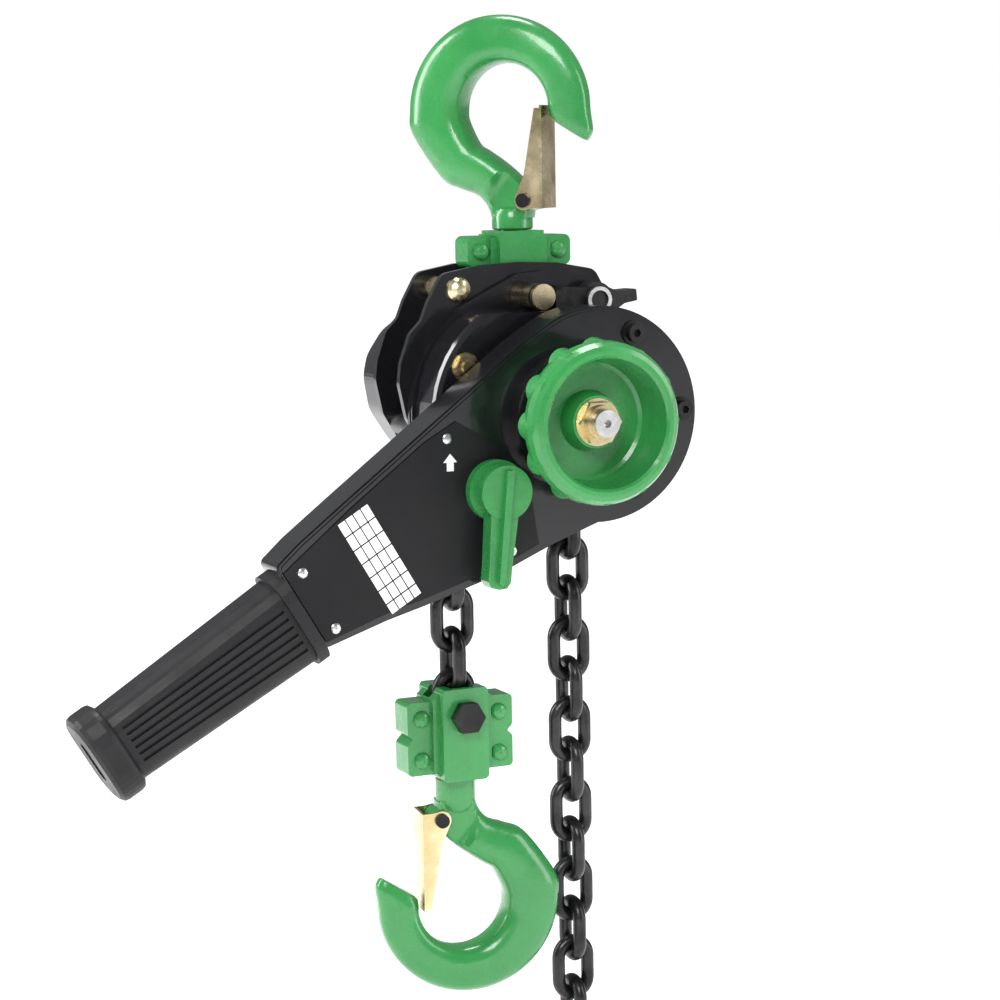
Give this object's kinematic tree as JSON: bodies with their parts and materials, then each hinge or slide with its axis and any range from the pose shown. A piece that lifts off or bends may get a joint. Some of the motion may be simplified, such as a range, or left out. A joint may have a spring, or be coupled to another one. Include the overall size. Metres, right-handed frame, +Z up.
{
  "type": "come along winch",
  "caption": "Lever chain hoist with a green hand wheel, selector, rubber-gripped lever, hooks with safety latches, load chain and free chain.",
  "frame": {"origin": "seat of the top hook, the top of its bowl's inner surface, on the swivel axis", "axes": "+Z up along the swivel axis, +Y from the hand wheel towards the gear cover, +X to the right seen from the hand wheel"},
  "size_m": [0.269, 0.1485, 0.4646],
  "materials": {
    "green_paint": "thick gloss paint over castings",
    "black_paint": "gloss powder coat",
    "lever_paint": "gloss powder coat on pressed sheet",
    "panel_black": "satin black plate",
    "black_steel": "black phosphated steel",
    "zinc_yellow": "yellow passivated zinc",
    "bright_steel": "bright steel",
    "chain_steel": "dark oiled alloy steel",
    "inner_steel": "machined and greased",
    "friction_lining": "moulded friction lining",
    "grip_rubber": "moulded black rubber"
  },
  "bodies": {
    "top_hook": {"top_hook": "green_paint", "top_hook_nut": "black_steel", "top_latch_pin": "black_steel"},
    "top_latch": {"top_latch": "zinc_yellow"},
    "top_yoke": {"top_yoke_front": "green_paint", "top_yoke_rear": "green_paint", "top_yoke_rivets": "green_paint"},
    "frame": {"front_plate": "black_paint", "rear_plate": "black_paint", "top_hook_pin": "zinc_yellow", "pin_clip": "black_steel", "stay_bolt": "zinc_yellow", "pawl_stud": "black_steel", "pawl_stud_nut": "bright_steel", "cover_nuts": "zinc_yellow", "brake_base": "black_paint", "brake_cover": "black_paint", "ratchet_disc": "inner_steel", "gear_cover": "black_paint", "gear_cover_screws": "black_steel", "chain_guide_rollers": "inner_steel", "chain_stripper": "inner_steel", "chain_over_sheave": "chain_steel"},
    "brake_pawl": {"brake_pawl": "black_steel"},
    "drive": {"drive_shaft": "bright_steel", "friction_hub": "inner_steel", "friction_discs": "friction_lining", "driving_hub": "inner_steel", "hand_wheel": "green_paint", "spindle_nut": "zinc_yellow"},
    "sheave": {"load_sheave": "inner_steel", "load_gear": "inner_steel"},
    "counter_left": {"counter_gear_left": "inner_steel"},
    "counter_right": {"counter_gear_right": "inner_steel"},
    "load_strand": {"load_chain": "chain_steel"},
    "free_strand": {"free_chain": "chain_steel", "chain_end_ring": "chain_steel"},
    "bottom_yoke": {"bottom_yoke_front": "green_paint", "bottom_yoke_rear": "green_paint", "bottom_yoke_rivets": "green_paint", "chain_bolt": "black_steel", "chain_bolt_nut": "black_steel"},
    "bottom_hook": {"bottom_hook": "green_paint", "bottom_hook_nut": "black_steel", "bottom_latch_pin": "black_steel"},
    "bottom_latch": {"bottom_latch": "zinc_yellow"},
    "lever": {"lever_front": "lever_paint", "lever_rear": "lever_paint", "lever_screws": "black_steel", "rating_plate": "panel_black", "plate_rivets": "bright_steel", "grip": "grip_rubber"},
    "selector": {"selector_knob": "green_paint"},
    "changeover_pawl": {"changeover_pawl": "inner_steel"}
  },
  "joints": [
    {"name": "top_swivel", "type": "hinge", "parent": "top_hook", "child": "top_yoke", "pos_m": [0, 0, -0.075], "axis": [0, 0, 1], "continuous": true},
    {"name": "top_latch_hinge", "type": "hinge", "parent": "top_hook", "child": "top_latch", "pos_m": [0.00571, -0.00602, -0.0577], "axis": [0.7254, 0.6884, 0], "range_deg": [-28, 0], "stiffness_Nm_per_rad": 0.05, "springref_deg": 9.74},
    {"name": "yoke_pin", "type": "hinge", "parent": "top_yoke", "child": "frame", "pos_m": [0, 0, -0.0976], "axis": [0, 1, 0], "range_deg": [-12, 12]},
    {"name": "brake_pawl_pivot", "type": "hinge", "parent": "frame", "child": "brake_pawl", "pos_m": [0.027, 0, -0.0998], "axis": [0, 1, 0], "range_deg": [0, 12], "stiffness_Nm_per_rad": 0.05, "springref_deg": -9.74},
    {"name": "wheel_spin", "type": "hinge", "parent": "frame", "child": "drive", "pos_m": [-0.004, 0, -0.1453], "axis": [0, 1, 0], "continuous": true, "deforming": ["chain_over_sheave"]},
    {"name": "counter_left_spin", "type": "hinge", "parent": "frame", "child": "counter_left", "pos_m": [-0.028, 0, -0.1453], "axis": [0, 1, 0], "continuous": true},
    {"name": "counter_right_spin", "type": "hinge", "parent": "frame", "child": "counter_right", "pos_m": [0.02, 0, -0.1453], "axis": [0, 1, 0], "continuous": true},
    {"name": "sheave_spin", "type": "hinge", "parent": "frame", "child": "sheave", "pos_m": [-0.004, 0, -0.1453], "axis": [0, 1, 0], "continuous": true},
    {"name": "load_chain_swing", "type": "hinge", "parent": "frame", "child": "load_strand", "pos_m": [-0.0317, 0, -0.1543], "axis": [0, 1, 0], "range_deg": [0, 8]},
    {"name": "free_chain_swing", "type": "hinge", "parent": "frame", "child": "free_strand", "pos_m": [0.0237, 0, -0.1723], "axis": [0, 1, 0], "range_deg": [-8, 0]},
    {"name": "chain_bolt_pivot", "type": "hinge", "parent": "load_strand", "child": "bottom_yoke", "pos_m": [-0.0317, 0, -0.2758], "axis": [0, 1, 0], "range_deg": [0, 8]},
    {"name": "bottom_swivel", "type": "hinge", "parent": "bottom_yoke", "child": "bottom_hook", "pos_m": [-0.0317, 0, -0.3033], "axis": [0, 0, 1], "continuous": true},
    {"name": "bottom_latch_hinge", "type": "hinge", "parent": "bottom_hook", "child": "bottom_latch", "pos_m": [-0.03992, 0.00115, -0.3216], "axis": [0.1392, 0.9903, 0], "range_deg": [-28, 0], "stiffness_Nm_per_rad": 0.05, "springref_deg": 9.74},
    {"name": "lever_swing", "type": "hinge", "parent": "frame", "child": "lever", "pos_m": [-0.004, 0, -0.1453], "axis": [0, 1, 0], "continuous": true},
    {"name": "selector_turn", "type": "hinge", "parent": "lever", "child": "selector", "pos_m": [-0.0403, 0, -0.17229], "axis": [0, 1, 0], "range_deg": [0, 106]},
    {"name": "changeover_pawl_turn", "type": "hinge", "parent": "lever", "child": "changeover_pawl", "pos_m": [-0.0403, 0, -0.17229], "axis": [0, 1, 0], "range_deg": [0, 21.2]}
  ],
  "couplings": [
    {"joint": "counter_left_spin", "follows": "wheel_spin", "ratio": -0.45454},
    {"joint": "counter_right_spin", "follows": "wheel_spin", "ratio": -0.45454},
    {"joint": "sheave_spin", "follows": "wheel_spin", "ratio": 0.20661},
    {"joint": "changeover_pawl_turn", "follows": "selector_turn", "ratio": 0.2}
  ]
}
